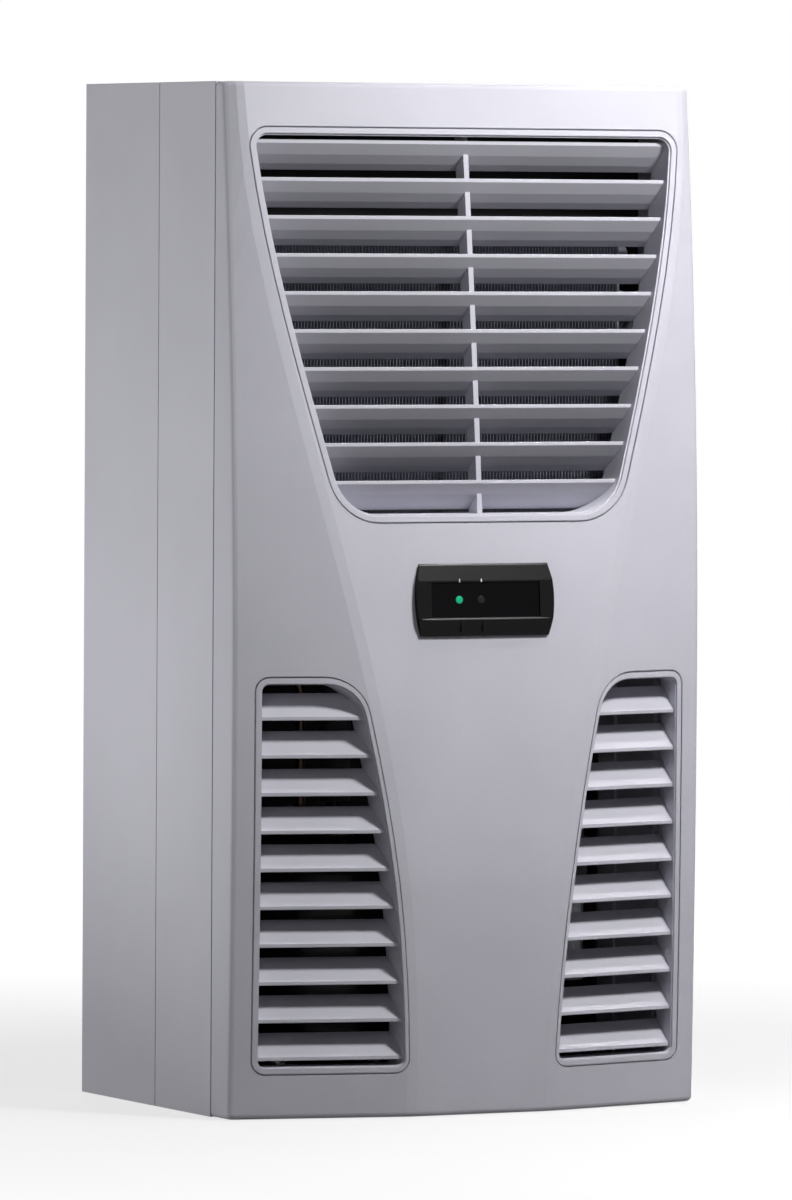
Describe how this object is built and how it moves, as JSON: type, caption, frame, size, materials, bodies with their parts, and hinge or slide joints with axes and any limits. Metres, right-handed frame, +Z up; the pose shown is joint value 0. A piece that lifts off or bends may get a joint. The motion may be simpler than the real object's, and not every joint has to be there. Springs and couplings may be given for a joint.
{
  "type": "enclosure cooling unit",
  "caption": "Wall-mounted cooling unit for an electrical enclosure, with a sculpted louvred front cover, display and a closed refrigerant circuit inside.",
  "frame": {"origin": "centre of the rear mounting face, on the plane that rests against the enclosure", "axes": "+X to the right seen from the front, -Y towards the viewer, +Z up"},
  "size_m": [0.28, 0.21, 0.55],
  "materials": {
    "cover_plastic": "light grey moulded plastic with a fine spark-eroded texture",
    "painted_sheet": "light grey powder coat with a fine orange peel",
    "galvanised_sheet": "zinc plated sheet steel with a faint spangle",
    "black_plastic": "black glass-filled plastic, lightly textured",
    "black_rubber": "soft black rubber, dull",
    "insulating_foam": "dark grey closed-cell foam",
    "copper_tube": "drawn copper, slightly tarnished",
    "aluminium_fin": "thin rolled aluminium, satin",
    "black_enamel": "black baked enamel, semi-gloss",
    "circuit_board": "green solder mask",
    "terminal_grey": "grey polyamide",
    "brass_stud": "turned brass",
    "display_glass": "smoked glossy acrylic",
    "lamp_green": "green light pipe"
  },
  "bodies": {
    "housing": {"rear_housing": "painted_sheet", "middle_housing": "painted_sheet", "front_cover": "cover_plastic", "cover_seal": "black_rubber", "cover_brackets": "galvanised_sheet", "cover_screws": "galvanised_sheet", "housing_rivets": "painted_sheet", "rear_gasket": "black_rubber", "mounting_inserts": "galvanised_sheet", "cable_gland": "black_plastic", "partition_grommets": "black_rubber", "partition": "galvanised_sheet", "partition_foam": "insulating_foam", "inlet_guard": "black_plastic", "inlet_nozzle": "galvanised_sheet", "evaporator_fan_motor": "galvanised_sheet", "evaporator_fins": "aluminium_fin", "evaporator_tubes": "copper_tube", "evaporator_end_plates": "galvanised_sheet", "drain_tray": "black_plastic", "drain_hose": "black_rubber", "drain_spout": "black_plastic", "fan_shroud": "galvanised_sheet", "condenser_fan_frame": "black_plastic", "fan_screws": "galvanised_sheet", "condenser_fins": "aluminium_fin", "condenser_tubes": "copper_tube", "condenser_end_plates": "galvanised_sheet", "base_plate": "galvanised_sheet", "compressor_shell": "black_enamel", "compressor_foot_plate": "black_enamel", "compressor_rubber_feet": "black_rubber", "compressor_bolts": "galvanised_sheet", "compressor_terminal_cover": "black_plastic", "suction_pipe": "copper_tube", "pipe_insulation": "insulating_foam", "discharge_pipe": "copper_tube", "liquid_pipe": "copper_tube", "filter_drier": "copper_tube", "capillary_tube": "copper_tube", "controls_plate": "galvanised_sheet", "control_board": "circuit_board", "board_parts": "black_plastic", "board_standoffs": "galvanised_sheet", "run_capacitor": "aluminium_fin", "capacitor_strap": "galvanised_sheet", "terminal_block": "terminal_grey", "earth_stud": "brass_stud", "display_bezel": "black_plastic", "display_window": "display_glass", "display_board": "circuit_board", "indicator_lamps": "lamp_green"},
    "upper_grille": {"upper_louvre": "cover_plastic"},
    "left_grille": {"left_louvre": "cover_plastic"},
    "right_grille": {"right_louvre": "cover_plastic"},
    "condenser_rotor": {"condenser_fan_rotor": "black_plastic"},
    "evaporator_rotor": {"evaporator_fan_rotor": "black_plastic"}
  },
  "joints": [
    {"name": "upper_grille_pull", "type": "slide", "parent": "housing", "child": "upper_grille", "axis": [0, -1, 0], "range_m": [0, 0.06]},
    {"name": "left_grille_pull", "type": "slide", "parent": "housing", "child": "left_grille", "axis": [0, -1, 0], "range_m": [0, 0.05]},
    {"name": "right_grille_pull", "type": "slide", "parent": "housing", "child": "right_grille", "axis": [0, -1, 0], "range_m": [0, 0.05]},
    {"name": "condenser_fan_spin", "type": "hinge", "parent": "housing", "child": "condenser_rotor", "pos_m": [0, -0.1, 0.113], "axis": [0, -1, 0], "continuous": true},
    {"name": "evaporator_fan_spin", "type": "hinge", "parent": "housing", "child": "evaporator_rotor", "pos_m": [0, -0.028, 0.17], "axis": [0, -1, 0], "continuous": true}
  ]
}
